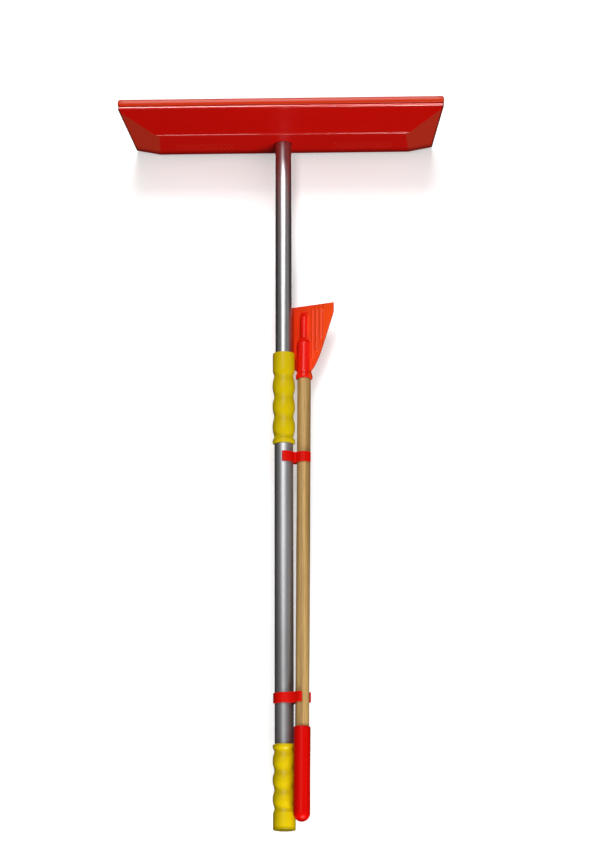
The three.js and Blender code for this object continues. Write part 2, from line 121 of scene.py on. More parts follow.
# Each light's azimuth, elevation, distance, width, height and power.
LIGHTS = {
    "key": (-10, 20, 3.0, 0.7, 2.4, 37),
    "low_right": (28, -66, 2.1, 0.8, 0.8, 42),
    "top": (1.6, 38, 3.2, 1.3, 0.9, 46),
    "left_fill": (-68, 10, 2.8, 0.6, 2.4, 2),
    "right_fill": (62, 8, 2.8, 0.8, 2.4, 5),
    "back_fill": (180, 30, 3.2, 2.4, 1.6, 45),
}
for light, setting in LIGHTS.items():
    softbox(light, *setting)


# Outer tube. Drawn aluminium, 28 mm across, satin, with the fine lengthwise lines that the drawing
# die leaves. Its mouth is cut square and deburred. It slips into the butt grip over a plastic plug.


class Wire:
    """A value that runs between shader nodes. Arithmetic on it adds Math nodes."""

    def __init__(self, finish, socket):
        self.finish = finish
        self.socket = socket

    def maths(self, operation, first, second=0):
        return self.finish.node("Math", {"operation": operation}, {0: first, 1: second})

    def __or__(self, other):
        return self.maths("MAXIMUM", self, other)

    def __abs__(self):
        return self.maths("ABSOLUTE", self)

    def __add__(self, other):
        return self.maths("ADD", self, other)

    def __radd__(self, other):
        return self.maths("ADD", other, self)

    def __sub__(self, other):
        return self.maths("SUBTRACT", self, other)

    def __rsub__(self, other):
        return self.maths("SUBTRACT", other, self)

    def __mul__(self, other):
        return self.maths("MULTIPLY", self, other)

    def __rmul__(self, other):
        return self.maths("MULTIPLY", other, self)


class Finish:
    """A material and the nodes that make it."""

    def __init__(self, name):
        self.material = bpy.data.materials.new(name)
        self.material.use_nodes = True
        self.tree = self.material.node_tree
        self.shader = self.tree.nodes["Principled BSDF"]

    def plug(self, socket, value):
        """Feeds a socket from a wire, or sets it to a plain value."""
        if isinstance(value, Wire):
            self.tree.links.new(value.socket, socket)
        else:
            socket.default_value = value

    def node(self, kind, settings, inputs, output=0):
        """Adds a node: its settings first, a ramp's stops among them, then its sockets."""
        made = self.tree.nodes.new("ShaderNode" + kind)
        for name, value in settings.items():
            if name == "stops":
                ramp = made.color_ramp.elements
                while len(ramp) < len(value):
                    ramp.new(0.5)
                for element, (place, level) in zip(ramp, value):
                    element.position = place
                    element.color = (level, level, level, 1)
            else:
                setattr(made, name, value)
        for name, value in inputs.items():
            self.plug(made.inputs[name], value)
        return Wire(self, made.outputs[output])

    def grain(self, scale, stretch=(1, 1, 1), detail=3, roughness=0.5):
        """Noise with that many features to a metre, drawn out along the axes by the stretch."""
        place = self.node("TexCoord", {}, {}, "Object")
        drawn = self.node("VectorMath", {"operation": "MULTIPLY"}, {0: place, 1: stretch})
        sockets = {"Vector": drawn, "Scale": scale, "Detail": detail, "Roughness": roughness}
        return self.node("TexNoise", {}, sockets, "Fac")

    def along(self, axis, kind="Object"):
        """One coordinate of the piece's own place, in metres, or of its normal."""
        return self.node("SeparateXYZ", {}, {0: self.node("TexCoord", {}, {}, kind)}, axis)

    def colour_so_far(self):
        """What feeds the base colour now, so that more can be laid over it."""
        return Wire(self, self.shader.inputs["Base Color"].links[0].from_socket)

    def ramp(self, value, *stops):
        """The value spread between the stops, each a place and a level."""
        return self.node("ValToRGB", {"stops": stops}, {"Fac": value})

    def blend(self, factor, first, second):
        """One colour passing into another."""
        return self.node("Mix", {"data_type": "RGBA"}, {0: factor, 6: first, 7: second}, 2)

    def bump(self, height, depth, strength=1.0):
        """Sets the surface's relief from a height of 0 to 1 that stands for a depth in metres."""
        sockets = {"Height": height, "Distance": depth, "Strength": strength}
        self.plug(self.shader.inputs["Normal"], self.node("Bump", {}, sockets, "Normal"))

    def set(self, **sockets):
        """Sets the shader's own sockets, named with underlines for spaces."""
        for name, value in sockets.items():
            self.plug(self.shader.inputs[name.replace("_", " ")], value)


def rounded(corners, closed=True, steps=5):
    """An outline from corners (x, y, radius), each rounded by an arc of that radius."""
    points = []
    count = len(corners)
    for index, (x, y, radius) in enumerate(corners):
        corner = Vector((x, y))
        is_end = not closed and index in (0, count - 1)
        if radius == 0 or is_end:
            points.append(corner)
            continue
        before = (Vector(corners[index - 1][:2]) - corner).normalized()
        after = (Vector(corners[(index + 1) % count][:2]) - corner).normalized()
        half = before.angle(after) / 2
        centre = corner + (before + after).normalized() * (radius / math.sin(half))
        start = corner + before * (radius / math.tan(half)) - centre
        sweep = start.angle_signed(corner + after * (radius / math.tan(half)) - centre)
        for step in range(steps + 1):
            turn = Matrix.Rotation(-sweep * step / steps, 2)
            points.append(centre + turn @ start)
    return points


def mesh_object(name, vertices, faces, sharp=35):
    """A smooth-shaded object, with its edges sharp past an angle in degrees."""
    mesh = bpy.data.meshes.new(name)
    mesh.from_pydata([tuple(v) for v in vertices], [], faces)
    work = bmesh.new()
    work.from_mesh(mesh)
    bmesh.ops.remove_doubles(work, verts=work.verts, dist=1e-7)
    bmesh.ops.recalc_face_normals(work, faces=work.faces)
    work.to_mesh(mesh)
    work.free()
    mesh.shade_smooth()
    mesh.set_sharp_from_angle(angle=math.radians(sharp))
    made = bpy.data.objects.new(name, mesh)
    scene.collection.objects.link(made)
    return made


def turned(name, profile, closed=False, facets=96):
    """A profile of (radius, height) points turned about Z."""
    vertices = []
    faces = []
    for radius, height in profile:
        for step in range(facets):
            angle = 2 * math.pi * step / facets
            vertices.append((radius * math.cos(angle), radius * math.sin(angle), height))
    rings = len(profile)
    for ring in range(rings if closed else rings - 1):
        this_ring = ring * facets
        next_ring = ((ring + 1) % rings) * facets
        for step in range(facets):
            other = (step + 1) % facets
            faces.append((this_ring + step, this_ring + other, next_ring + other, next_ring + step))
    return mesh_object(name, vertices, faces)


def paint(piece, finish):
    """Gives the whole piece one finish."""
    piece.data.materials.clear()
    piece.data.materials.append(finish.material)


def drawn_aluminium(name, tone, roughness):
    """Satin tube metal with lengthwise draw lines, faint tarnish and a few rubbed rings."""
    metal = Finish(name)
    lines = metal.grain(2600, (1, 1, 0.004), detail=4)
    tarnish = metal.grain(22, (1, 1, 0.25), detail=5, roughness=0.6)
    rubbed = metal.ramp(metal.grain(60, (0.06, 0.06, 3), detail=2), (0.62, 0), (0.7, 1))
    dull = tuple(level * 0.82 for level in tone)
    metal.set(
        Base_Color=metal.blend(metal.ramp(tarnish, (0.35, 0), (0.7, 1)), (*dull, 1), (*tone, 1)),
        Metallic=1.0,
        Roughness=roughness + 0.08 * (lines - 0.5) + 0.05 * (tarnish - 0.5) + 0.04 * rubbed,
    )
    metal.bump(lines, 0.000004, 0.2)
    return metal


WALL = 1.2 * MM
DEBURR = 0.3 * MM


def tube_profile(low, high):
    """A tube's wall between its lowest and highest corner, its edges deburred."""
    bore_radius = high.x - WALL
    corners = ((high.x, low.z), (high.x, high.z), (bore_radius, high.z), (bore_radius, low.z))
    return rounded([(radius, height, DEBURR) for radius, height in corners])


outer_low, outer_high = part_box("outer_tube")
outer_radius = outer_high.x
outer_profile = tube_profile(outer_low, outer_high)
outer_tube = turned("outer_tube_metal", outer_profile, closed=True, facets=128)
paint(outer_tube, drawn_aluminium("satin_aluminium", tone=(0.48, 0.48, 0.495), roughness=0.5))
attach(outer_tube, "outer_pole")
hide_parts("outer_tube")


# Inner tube. The same drawn aluminium in 25 mm, brighter because it has been wiped by the grip's
# rim each time the pole slides. A bolt holds it in the head's boss, a pin holds its lock plug.

inner_low, inner_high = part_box("inner_tube")
inner_radius = inner_high.x
inner_profile = tube_profile(inner_low, inner_high)
inner_tube = turned("inner_tube_metal", inner_profile, closed=True, facets=128)
paint(inner_tube, drawn_aluminium("wiped_aluminium", tone=(0.5, 0.5, 0.515), roughness=0.38))
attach(inner_tube, "inner_pole")
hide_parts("inner_tube")


# Lock inside the tubes. A black moulded plug with an offset cam, pinned in the inner tube's end,
# a slotted ring round the cam, a disc and a screw that keep the ring on, and plugs in both ends.


def moulded_black():
    """Matt moulded plastic with a spark-eroded surface and paler rubbed patches."""
    plastic = Finish("black_moulding")
    texture = plastic.grain(1800, detail=2)
    worn = plastic.ramp(plastic.grain(90, detail=4), (0.5, 0), (0.72, 1))
    plastic.set(
        Base_Color=plastic.blend(worn, (0.012, 0.012, 0.013, 1), (0.035, 0.035, 0.037, 1)),
        Roughness=0.5 + 0.2 * (texture - 0.5) + 0.08 * worn,
    )
    plastic.bump(texture, 0.00004, 0.5)
    return plastic


def plated_steel():
    """Zinc-plated steel, faintly yellow in patches, with fine turning marks."""
    steel = Finish("zinc_plate")
    patches = steel.grain(260, detail=4)
    marks = steel.grain(5200, (1, 1, 0.2), detail=2)
    steel.set(
        Base_Color=steel.blend(patches, (0.5, 0.51, 0.53, 1), (0.64, 0.62, 0.55, 1)),
        Metallic=1.0,
        Roughness=0.3 + 0.16 * (patches - 0.5) + 0.1 * (marks - 0.5),
    )
    steel.bump(marks, 0.00001, 0.5)
    return steel


black_moulding = moulded_black()
zinc_plate = plated_steel()
for node in ("end_plug", "lock_ring", "lock_plug", "lock_end_disc", "inner_top_plug"):
    paint(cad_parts[node], black_moulding)
for node in ("lock_plug_pin", "lock_screw"):
    paint(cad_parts[node], zinc_plate)


# Finger grips. Two soft vinyl mouldings with four finger hollows, a plain collar at one end and a
# flared lip at the other, pushed on warm. The upper one is upside down over the outer tube's mouth,
# its end wall bored out for the inner tube.

GRIP_BORE = 14.05 * MM
COLLAR_SHARE = 0.19
FIRST_HOLLOW = 0.248
FINGER_PITCH = 0.2243
HOLLOW_DEPTH = 2.4 * MM


def grip_outside(length, radius):
    """Outside of a grip from its plain end to its lip, as (radius, height) points."""
    collar = radius - 0.4 * MM
    hollow = radius - HOLLOW_DEPTH
    ease = 1.5 * MM
    points = []
    for step in range(7):
        angle = math.pi / 2 * step / 6
        points.append((collar - ease + ease * math.sin(angle), ease * (1 - math.cos(angle))))
    collar_end = COLLAR_SHARE * length
    first = FIRST_HOLLOW * length
    pitch = FINGER_PITCH * length
    points += [(collar, collar_end - 1.5 * MM), (collar - 0.15 * MM, collar_end)]
    for step in range(1, 7):
        fall = (1 - math.cos(math.pi * step / 7)) / 2
        height = collar_end + (first - collar_end) * step / 7
        points.append((collar - (collar - hollow) * fall, height))
    steps = 96
    for step in range(steps + 1):
        fall = ((1 + math.cos(6 * math.pi * step / steps)) / 2) ** 1.5
        points.append((radius - HOLLOW_DEPTH * fall, first + 3 * pitch * step / steps))
    lip = 2 * MM
    lip_radius = radius - 0.1 * MM
    last = first + 3 * pitch
    for step in range(1, 9):
        rise = (1 - math.cos(math.pi * step / 8)) / 2
        height = last + (length - 2.2 * lip - last) * step / 8
        points.append((hollow + (lip_radius - hollow) * rise, height))
    for step in range(1, 9):
        angle = math.pi / 2 * step / 8
        points.append((lip_radius - lip * (1 - math.cos(angle)), length - lip + lip * math.sin(angle)))
    return points


def soft_vinyl(name, colour, shade, gloss, foot):
    """Satin vinyl: mottled, finely pebbled, greyer where hands rub it, with painted shade at its foot.
    """
    vinyl = Finish(name)
    mottle = vinyl.grain(35, detail=5, roughness=0.6)
    pebble = vinyl.grain(2400, detail=2)
    grime = vinyl.ramp(vinyl.grain(70, (1, 1, 0.5), detail=6, roughness=0.7), (0.55, 0), (0.8, 1))
    clean = vinyl.blend(mottle, (*shade, 1), (*colour, 1))
    dirty = tuple(level * 0.72 for level in colour)
    foot_shade = tuple(level * 0.2 for level in colour)
    handled = vinyl.blend(0.2 * grime, clean, (*dirty, 1))
    # Painted shade: the last few millimetres above the foot are painted darker.
    foot_shade_mask = vinyl.ramp((vinyl.along("Z") - foot) * 100, (0, 0.85), (0.08, 0.6), (0.5, 0))
    vinyl.set(
        Base_Color=vinyl.blend(foot_shade_mask, handled, (*foot_shade, 1)),
        Roughness=0.36 + 0.12 * (mottle - 0.5) + 0.1 * grime,
        Specular_IOR_Level=gloss,
    )
    vinyl.bump(pebble, 0.00005, 0.3)
    return vinyl


YELLOW = (0.64, 0.48, 0.0008)
YELLOW_SHADE = (0.58, 0.42, 0.0008)
yellow_vinyl = soft_vinyl("yellow_vinyl", YELLOW, YELLOW_SHADE, gloss=0.14, foot=0)
GRIP_FLOOR = 3 * MM
LIP_RECESS = 0.4 * MM
lower_low, lower_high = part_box("lower_grip")
grip_radius = lower_high.x
lower_length = lower_high.z - lower_low.z
lower_profile = [(0, 0)] + grip_outside(lower_length, grip_radius)
lower_profile += [(GRIP_BORE, lower_length - LIP_RECESS), (GRIP_BORE, GRIP_FLOOR), (0, GRIP_FLOOR)]
lower_grip = turned("lower_grip_vinyl", lower_profile)
paint(lower_grip, yellow_vinyl)
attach(lower_grip, "outer_pole")
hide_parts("lower_grip")

upper_low, upper_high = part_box("upper_grip")
CLEARANCE = 0.3 * MM
RIM_EASE = 0.5 * MM
rim_bore = inner_radius + CLEARANCE
rim_depth = upper_high.z - outer_high.z - CLEARANCE
upper_length = upper_high.z - upper_low.z
upper_profile = [(rim_bore, RIM_EASE), (rim_bore + RIM_EASE, 0)]
upper_profile += grip_outside(upper_length, grip_radius)
upper_profile += [(GRIP_BORE, upper_length - LIP_RECESS), (GRIP_BORE, rim_depth), (rim_bore, rim_depth)]
upper_grip = turned("upper_grip_vinyl", upper_profile, closed=True)
upside_down = Matrix.Rotation(math.pi, 4, "X")
upper_grip.data.transform(Matrix.Translation((0, 0, upper_high.z)) @ upside_down)
paint(upper_grip, yellow_vinyl)
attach(upper_grip, "outer_pole")
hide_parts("upper_grip")


# Wiping head. One glossy moulding: a shallow tray 3 mm thick with a flat panel at the pole, a face
# that rises to the front from a crease, folded-up ends, a rounded bead and an upright front wall.
# Inside it has ribs, gussets and the boss that the inner tube is bolted in.

head_low, head_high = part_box("head_plate")
HEAD_Z = head_low.z
BACK = -head_high.y
WALL_FRONT = -head_low.y
CREASE = 40 * MM
CREASE_RISE = 3.8 * MM
FACE_SLOPE = 0.178
STEP = 1.3 * MM
BEAD = 2.2 * MM
WALL_TOP = 27 * MM
SHELL = 3 * MM
HALF_BACK = 227.5 * MM
HALF_FRONT = head_high.x
FACET_START = 191 * MM
FACET_SLOPE = 7 / 36.5
FACET_RISE = (CREASE_RISE - FACET_SLOPE * 2 * MM) / (CREASE - BACK)


def half_width(reach):
    """Half the head's width, that far out from the pole towards the lip."""
    return HALF_BACK + (HALF_FRONT - HALF_BACK) * (reach - BACK) / (WALL_FRONT - BACK)


def soft_max(first, second, soft):
    """The higher of two heights, with the corner between them rounded."""
    return max(first, second) + max(soft - abs(first - second), 0) ** 2 / (4 * soft)


def base_height(reach):
    """Height of the underside at the middle of the head."""
    if reach < CREASE:
        return (CREASE_RISE - STEP) * (reach - BACK) / (CREASE - BACK)
    return CREASE_RISE + FACE_SLOPE * (reach - CREASE)


def facet_height(x, reach):
    """Height of the folded-up end's plane."""
    return FACET_SLOPE * (abs(x) - FACET_START) + FACET_RISE * (reach - BACK)


def under_height(x, reach):
    """Height of the underside above the back edge's level."""
    return soft_max(base_height(reach), facet_height(x, reach), 0.5 * MM)


def facet_edge(reach):
    """Where the folded-up end begins."""
    return FACET_START + (base_height(reach) - FACET_RISE * (reach - BACK)) / FACET_SLOPE


def head_point(x, reach, height):
    """A point on the head from its reach towards the lip and its height."""
    return Vector((x, -reach, HEAD_Z + height))


# Rows run from the back edge to the top of the front wall, as (reach, height).
rows = []
panel_end = CREASE - STEP
for step in range(15):
    reach = BACK + (panel_end - BACK) * step / 14
    rows.append((reach, base_height(reach)))
for step in range(1, 7):
    angle = math.pi / 2 * step / 6
    rise = STEP * (1 - math.cos(angle))
    rows.append((panel_end + STEP * math.sin(angle), base_height(panel_end) + rise))
bead_reach = WALL_FRONT - 0.3 * MM
bead_height = base_height(bead_reach) + BEAD * 1.02
for step in range(1, 16):
    reach = CREASE + (bead_reach - CREASE) * step / 15
    rows.append((reach, base_height(reach)))
for step in range(1, 15):
    angle = math.radians(-80 + 160 * step / 14)
    rows.append((bead_reach + BEAD * math.cos(angle), bead_height + BEAD * math.sin(angle)))
for share in (0, 0.35, 0.7, 1.0):
    height = bead_height + BEAD + 0.2 * MM
    rows.append((WALL_FRONT, height + (WALL_TOP - height) * share))

offsets = (-3.4, -2.5, -1.7, -1, -0.4, 0, 0.4, 1, 1.7, 2.5, 3.4)
shell_vertices = []
for reach, height in rows:
    edge = half_width(reach)
    fold = min(facet_edge(reach), edge - 2.4 * MM)
    squeeze = min(1, (edge - fold) / (4.4 * MM))
    right = [fold * share / 9 for share in range(9) if fold * share / 9 < fold - 4 * MM]
    right += [fold + offset * squeeze * MM for offset in offsets]
    last = right[-1]
    right += [last + (edge - last) * share / 5 for share in range(1, 6)]
    across = [-x for x in reversed(right[1:])] + right
    for x in across:
        lifted = soft_max(height, facet_height(x, reach), 0.5 * MM)
        shell_vertices.append(head_point(x, reach, min(lifted, WALL_TOP)))
columns = len(shell_vertices) // len(rows)
shell_faces = []
for row in range(len(rows) - 1):
    for column in range(columns - 1):
        first = row * columns + column
        shell_faces.append((first, first + 1, first + columns + 1, first + columns))


def settle(piece):
    """Applies a piece's modifiers."""
    graph = bpy.context.evaluated_depsgraph_get()
    done = bpy.data.meshes.new_from_object(piece.evaluated_get(graph))
    piece.modifiers.clear()
    piece.data = done
    return piece


def ease_edges(piece, width, segments=3, angle=40):
    """Rounds a piece's sharp edges."""
    ease = piece.modifiers.new("eased_edges", "BEVEL")
    ease.width = width
    ease.segments = segments
    ease.limit_method = "ANGLE"
    ease.angle_limit = math.radians(angle)
    ease.harden_normals = True


head_shell = mesh_object("head_shell", shell_vertices, shell_faces, sharp=60)
if head_shell.data.polygons[0].normal.z > 0:
    head_shell.data.flip_normals()
thicken = head_shell.modifiers.new("thickness", "SOLIDIFY")
thicken.thickness = SHELL
thicken.offset = -1
thicken.use_even_offset = True


def rod_profile(radius, bottom, top):
    """The outline of a plain rod, from the middle of its bottom to the middle of its top."""
    return [(0, bottom), (radius, bottom), (radius, top), (0, top)]


POLE_HOLE = 13.3 * MM
HOLE_REACH = 20 * MM
hole_profile = rod_profile(POLE_HOLE, HEAD_Z - HOLE_REACH, HEAD_Z + HOLE_REACH)
socket_cutter = turned("socket_cutter", hole_profile, facets=64)
bore = head_shell.modifiers.new("bore", "BOOLEAN")
bore.object = socket_cutter
bore.operation = "DIFFERENCE"
settle(head_shell)
bpy.data.objects.remove(socket_cutter)
head_shell.data.shade_smooth()
head_shell.data.set_sharp_from_angle(angle=math.radians(40))
ease_edges(head_shell, 0.7 * MM)


def glossy_red(name, colour, deep, roughness, gloss):
    """Moulded red plastic: faint flow marks, fine wiping scratches and dusty, scuffed patches."""
    plastic = Finish(name)
    flow = plastic.grain(14, (0.6, 1.6, 1), detail=4, roughness=0.55)
    wiping = plastic.ramp(plastic.grain(1500, (1, 0.02, 0.02), detail=2), (0.62, 0), (0.8, 1))
    scuffs = plastic.ramp(plastic.grain(48, detail=8, roughness=0.75), (0.6, 0), (0.78, 1))
    orange_peel = plastic.grain(420, detail=2)
    fresh = plastic.blend(flow, (*deep, 1), (*colour, 1))
    dusty = tuple(0.85 * level + 0.01 for level in colour)
    plastic.set(
        Base_Color=plastic.blend(0.12 * scuffs, fresh, (*dusty, 1)),
        Roughness=roughness + 0.05 * wiping + 0.1 * scuffs,
        Specular_IOR_Level=gloss,
    )
    plastic.bump(orange_peel, 0.00004, 0.15)
    return plastic


HEAD_RED = (0.7, 0.003, 0.0003)
HEAD_RED_DEEP = (0.62, 0.002, 0.0002)
LIT_FOLD = (0.56, 0.034, 0.014, 1)
PANEL_SHADE = (0.12, 0.001, 0.0002, 1)
END_EDGE_SHADE = (0.06, 0.001, 0.0004, 1)
head_red = glossy_red("head_red_plastic", HEAD_RED, HEAD_RED_DEEP, roughness=0.32, gloss=0.2)

# Painted light makes the faces that turn sideways, on the folded-up ends, paler. Painted shade
# darkens the back of the panel and the end edges. The bead and the crease are shiny where wiping has
# polished them.
reach_out = -1 * head_red.along("Y")
slant = (HALF_FRONT - HALF_BACK) / (WALL_FRONT - BACK)
past_end = abs(head_red.along("X")) - slant * reach_out - (HALF_BACK - slant * BACK)
# Painted light: faces that turn sideways, as on the folded-up ends, are painted paler.
folded = head_red.ramp(abs(head_red.along("X", "Normal")), (0.07, 0), (0.16, 1))
# Painted shade: the panel is painted darker towards its back edge.
back_shade = head_red.ramp((reach_out - BACK) * 50, (0.1, 1), (0.9, 0))
# Painted shade: the last millimetres at the ends and the end faces are painted dark.
end_shade = head_red.ramp((past_end + 3 * MM) * 400, (0.1, 0), (0.6, 1))
lit_folds = head_red.blend(0.85 * folded, head_red.colour_so_far(), LIT_FOLD)
shaded = head_red.blend(0.85 * back_shade, lit_folds, PANEL_SHADE)
bead_shine = head_red.ramp((reach_out - WALL_FRONT + 8 * MM) * 100, (0.35, 0), (0.5, 1))
crease_shine = head_red.ramp(abs(reach_out - CREASE + STEP / 2) * 100, (0.12, 1), (0.2, 0))
head_red.set(
    Base_Color=head_red.blend(0.85 * end_shade, shaded, END_EDGE_SHADE),
    Coat_Weight=bead_shine + crease_shine * (1 - folded),
    Coat_Roughness=0.06,
    Coat_IOR=1.75,
)
paint(head_shell, head_red)
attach(head_shell, "inner_pole")
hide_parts("head_plate")


def rib(name, path, foot=2.8 * MM, crest=1.8 * MM):
    """A tapered rib along a path of (x, reach, low height, high height)."""
    vertices = []
    faces = []
    for index, (x, reach, low, high) in enumerate(path):
        before = path[max(index - 1, 0)]
        after = path[min(index + 1, len(path) - 1)]
        along = Vector((after[0] - before[0], after[1] - before[1])).normalized()
        side = Vector((-along.y, along.x))
        for width, height in ((foot, low), (crest, high)):
            for sign in (-0.5, 0.5):
                spot = Vector((x, reach)) + side * width * sign
                vertices.append(head_point(spot.x, spot.y, height))
    for index in range(len(path) - 1):
        a = 4 * index
        b = a + 4
        faces += [(a, a + 1, b + 1, b), (a + 2, b + 2, b + 3, a + 3)]
        faces += [(a, b, b + 2, a + 2), (a + 1, a + 3, b + 3, b + 1)]
    end = 4 * (len(path) - 1)
    faces += [(0, 2, 3, 1), (end, end + 1, end + 3, end + 2)]
    made = mesh_object(name, vertices, faces)
    ease_edges(made, 0.5 * MM, segments=2)
    paint(made, head_red)
    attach(made, "inner_pole")


RIB_DEPTH = 9 * MM
RIB_LIMIT = 23.8 * MM


def rib_point(x, reach):
    """A point of a rib that stands on the inside of the shell."""
    low = under_height(x, reach) + SHELL - 0.4 * MM
    high = min(under_height(x, reach) + RIB_DEPTH, RIB_LIMIT)
    return x, reach, low, high


front_end = WALL_FRONT - SHELL + 0.3 * MM
for number, x in enumerate((-195, -130, -65, 65, 130, 195), start=1):
    span = [BACK + 1.5 * MM + (front_end - BACK - 1.5 * MM) * step / 24 for step in range(25)]
    rib(f"cross_rib_{number}", [rib_point(x * MM, reach) for reach in span])
for number, reach in enumerate((BACK + 2 * MM, 0, 75 * MM), start=1):
    edge = half_width(reach) - 1.5 * MM
    halves = ((-edge, edge),) if reach else ((-edge, -16 * MM), (16 * MM, edge))
    for side, (start, stop) in enumerate(halves, start=1):
        span = [start + (stop - start) * step / 40 for step in range(41)]
        rib(f"long_rib_{number}_{side}", [rib_point(x, reach) for x in span])

BOSS = 17.5 * MM
BOSS_TOP = 30 * MM
BOSS_ROOF = 3.5 * MM
boss_bore = inner_radius + 0.35 * MM
boss_profile = rounded(
    [
        (boss_bore, 2 * MM, 0),
        (BOSS + 1.5 * MM, 2 * MM, 0),
        (BOSS + 1 * MM, 5 * MM, 1 * MM),
        (BOSS - 0.3 * MM, BOSS_TOP, 1.8 * MM),
        (0, BOSS_TOP, 0),
        (0, BOSS_TOP - BOSS_ROOF, 0),
        (boss_bore, BOSS_TOP - BOSS_ROOF, 0.5 * MM),
    ]
)
boss = turned("head_boss", [(r, HEAD_Z + z) for r, z in boss_profile], closed=True)
paint(boss, head_red)
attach(boss, "inner_pole")
for number, side in enumerate((-1, 1), start=1):
    start = BOSS - 1 * MM
    stop = 62 * MM
    span = [start + (stop - start) * step / 12 for step in range(13)]
    path = []
    for x in span:
        share = (x - start) / (stop - start)
        low = under_height(x, 0) + SHELL - 0.4 * MM
        path.append((side * x, 0, low, (BOSS_TOP - 3 * MM) * (1 - share) + 9 * MM * share))
    rib(f"gusset_{number}", path, foot=3 * MM, crest=2.2 * MM)

# Two fields of small raised lozenges mark the panel on both sides of the pole.
LOZENGE = 1.7 * MM
stud_vertices = []
stud_faces = []
for side in (-1, 1):
    for row in range(3):
        for column in range(15):
            x = side * (78 * MM + 6 * MM * column + 3 * MM * (row % 2))
            reach = -17 * MM + 9 * MM * row
            ring = len(stud_vertices)
            for height, size in ((0.5 * MM, 1.0), (-0.25 * MM, 0.82), (-0.5 * MM, 0.45)):
                for step in range(8):
                    angle = math.pi * step / 4
                    corner = 1 if step % 2 == 0 else 0.72
                    dx = LOZENGE * 1.3 * size * corner * math.cos(angle)
                    dy = LOZENGE * size * corner * math.sin(angle)
                    base = under_height(x + dx, reach + dy)
                    stud_vertices.append(head_point(x + dx, reach + dy, base + height))
            for level in (0, 8):
                for step in range(8):
                    other = (step + 1) % 8
                    low_a = ring + level + step
                    low_b = ring + level + other
                    stud_faces.append((low_a, low_b, low_b + 8, low_a + 8))
            stud_faces.append(tuple(ring + 16 + step for step in range(8)))
            stud_faces.append(tuple(ring + step for step in reversed(range(8))))
studs = mesh_object("panel_lozenges", stud_vertices, stud_faces, sharp=50)
paint(studs, head_red)
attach(studs, "inner_pole")


# Wiping lip. A softer orange-red strip, extruded with a slot and pushed down over the front wall.
# Its ends are cut on the slant of the head's ends, with the upper corners knocked off.

lip_low, lip_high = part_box("wiping_lip")
LIP_FRONT = -lip_low.y
LIP_HALF = lip_high.x
LIP_TOP = lip_high.z - HEAD_Z
lip_bottom = lip_low.z - HEAD_Z
lip_leg = WALL_TOP - 2.7 * MM
slot_front = WALL_FRONT + 0.2 * MM
slot_back = WALL_FRONT - SHELL - 0.2 * MM
lip_profile = rounded(
    [
        (slot_front, lip_bottom, 0.3 * MM),
        (LIP_FRONT - 1.6 * MM, lip_bottom, 1.2 * MM),
        (LIP_FRONT, lip_bottom + 3.2 * MM, 2.4 * MM),
        (LIP_FRONT, LIP_TOP, 2.6 * MM),
        (-lip_high.y, LIP_TOP, 1.4 * MM),
        (-lip_high.y, lip_leg, 0.5 * MM),
        (slot_back, lip_leg, 0.3 * MM),
        (slot_back, WALL_TOP + 0.3 * MM, 0),
        (slot_front, WALL_TOP + 0.3 * MM, 0),
    ]
)
lip_middle = Vector(((LIP_FRONT - lip_high.y) / 2, (LIP_TOP + lip_bottom) / 2))
lip_slant = (LIP_HALF - HALF_BACK) / (LIP_FRONT - BACK)
END_EASE = 1.4 * MM
END_RINGS = ((0, 0.86), (0.35, 0.96), (1, 1))
lip_vertices = []
lip_rings = [(-1, inset, scale) for inset, scale in END_RINGS]
lip_rings += [(-1 + step / 20, 0, 1) for step in range(1, 40)]
lip_rings += [(1, inset, scale) for inset, scale in reversed(END_RINGS)]
for share, inset, scale in lip_rings:
    for reach, height in lip_profile:
        edge = LIP_HALF + (reach - LIP_FRONT) * lip_slant
        top_cut = max(0, height - LIP_TOP + 3 * MM) * 0.6
        x = share * edge
        if abs(share) == 1:
            x = share * (edge - END_EASE * inset - top_cut)
        spot = lip_middle + (Vector((reach, height)) - lip_middle) * scale
        lip_vertices.append(head_point(x, spot.x, spot.y))
around_lip = len(lip_profile)
lip_faces = []
for ring in range(len(lip_rings) - 1):
    for step in range(around_lip):
        other = (step + 1) % around_lip
        a = ring * around_lip
        b = a + around_lip
        lip_faces.append((a + step, b + step, b + other, a + other))
lip_faces.append(tuple(range(around_lip)))
last_ring = (len(lip_rings) - 1) * around_lip
lip_faces.append(tuple(last_ring + step for step in reversed(range(around_lip))))
wiping_lip = mesh_object("wiping_lip_strip", lip_vertices, lip_faces, sharp=50)


def soft_strip():
    """Extruded soft plastic: lengthwise extrusion lines and a scuffed, dusty front edge."""
    strip = Finish("orange_red_strip")
    lines = strip.grain(700, (0.01, 1, 1), detail=3)
    scuffs = strip.ramp(strip.grain(120, (0.4, 1, 1), detail=7, roughness=0.7), (0.58, 0), (0.8, 1))
    strip.set(
        Base_Color=strip.blend(0.3 * scuffs, (0.58, 0.03, 0.002, 1), (0.5, 0.035, 0.008, 1)),
        Roughness=0.3 + 0.1 * (lines - 0.5) + 0.2 * scuffs,
        Specular_IOR_Level=0.25,
    )
    strip.bump(lines, 0.00005, 0.3)
    return strip


paint(wiping_lip, soft_strip())
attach(wiping_lip, "inner_pole")
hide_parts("wiping_lip")


# Head bolt. A zinc-plated hexagon bolt through the boss and the inner tube, with a stamped washer at
# each side and a nut at the back.

WASHER_RADIUS = 5.4 * MM
WASHER_HOLE = 2.7 * MM
washer_rim = 0.96 * WASHER_RADIUS


